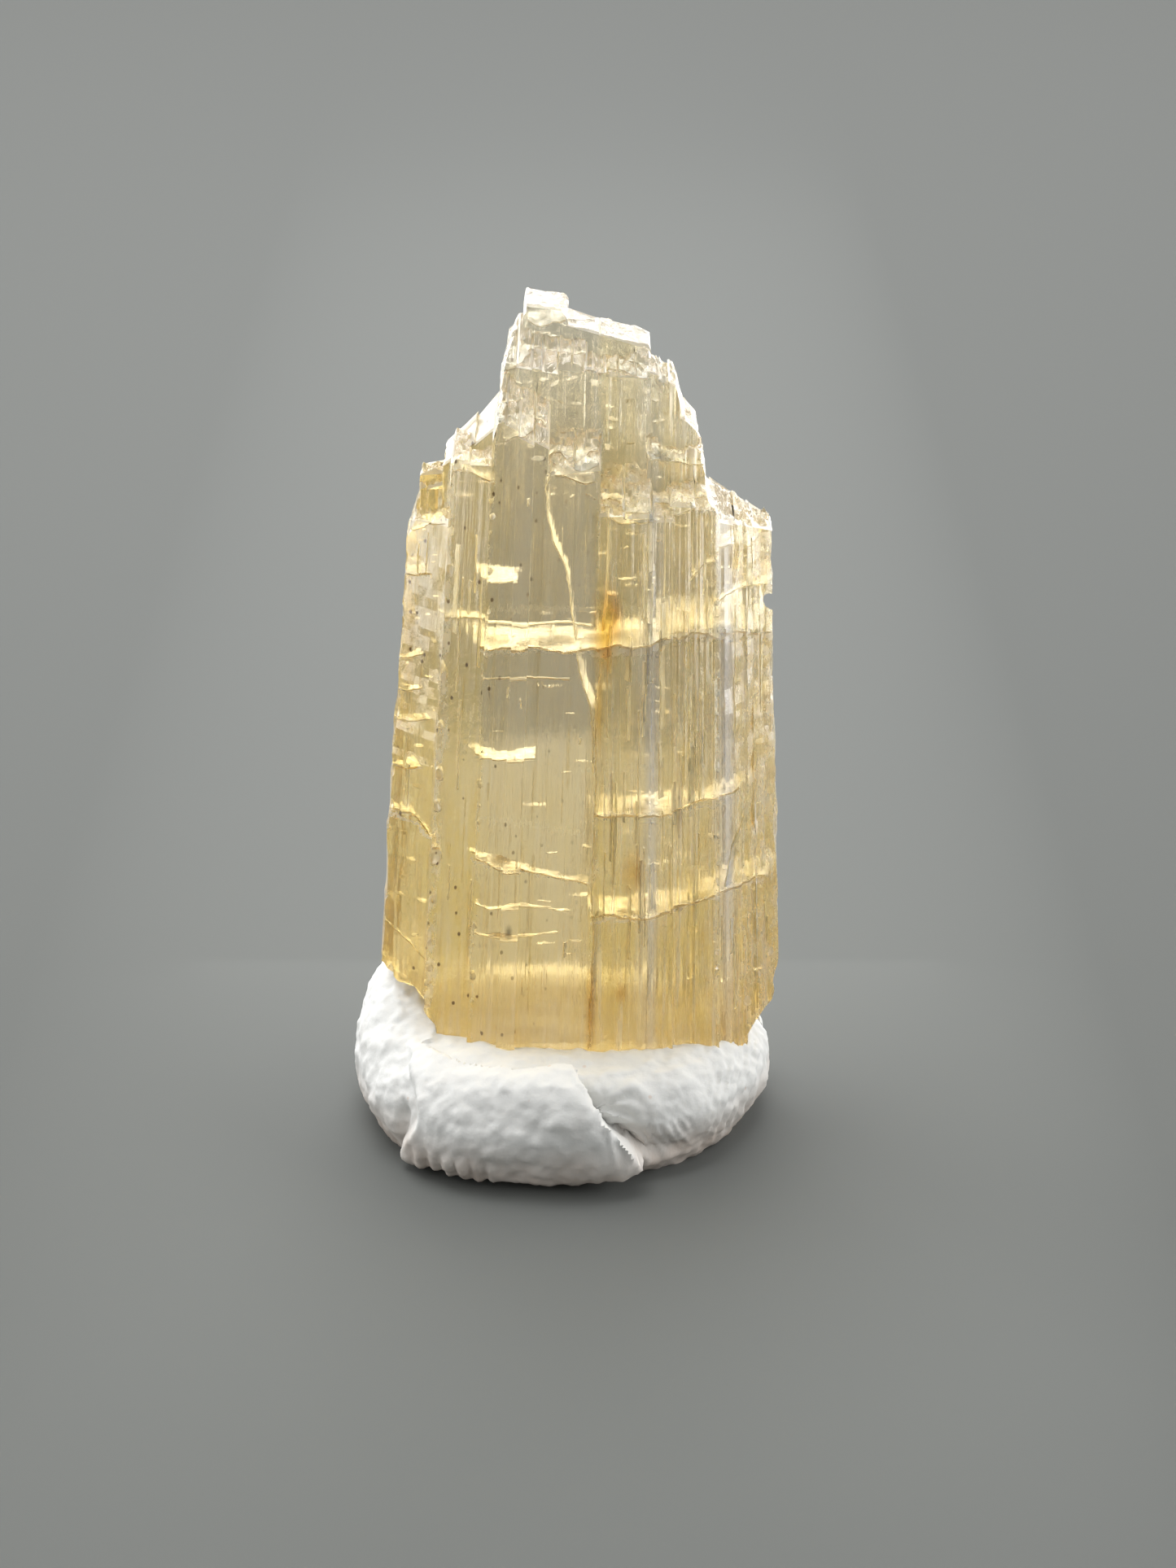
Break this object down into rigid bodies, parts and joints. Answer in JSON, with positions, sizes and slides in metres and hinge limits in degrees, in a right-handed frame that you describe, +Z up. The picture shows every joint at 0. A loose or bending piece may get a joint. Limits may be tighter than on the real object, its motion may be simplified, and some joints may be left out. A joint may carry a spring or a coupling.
{
  "type": "scapolite crystal specimen",
  "caption": "Clear honey-yellow striated crystal blade with a stepped, broken top, standing in a round pressed pad of white mounting tack.",
  "frame": {"origin": "on the pad's flat underside, below the crystal's middle", "axes": "+Z up along the crystal's length, -Y the crystal's broad front face, +X to its right"},
  "size_m": [0.0134, 0.0134, 0.0258],
  "materials": {
    "crystal": "clear to translucent, striated",
    "tack": "matt, pressed by hand"
  },
  "bodies": {
    "root": {"crystal": "crystal", "tack_pad": "tack"}
  },
  "joints": []
}
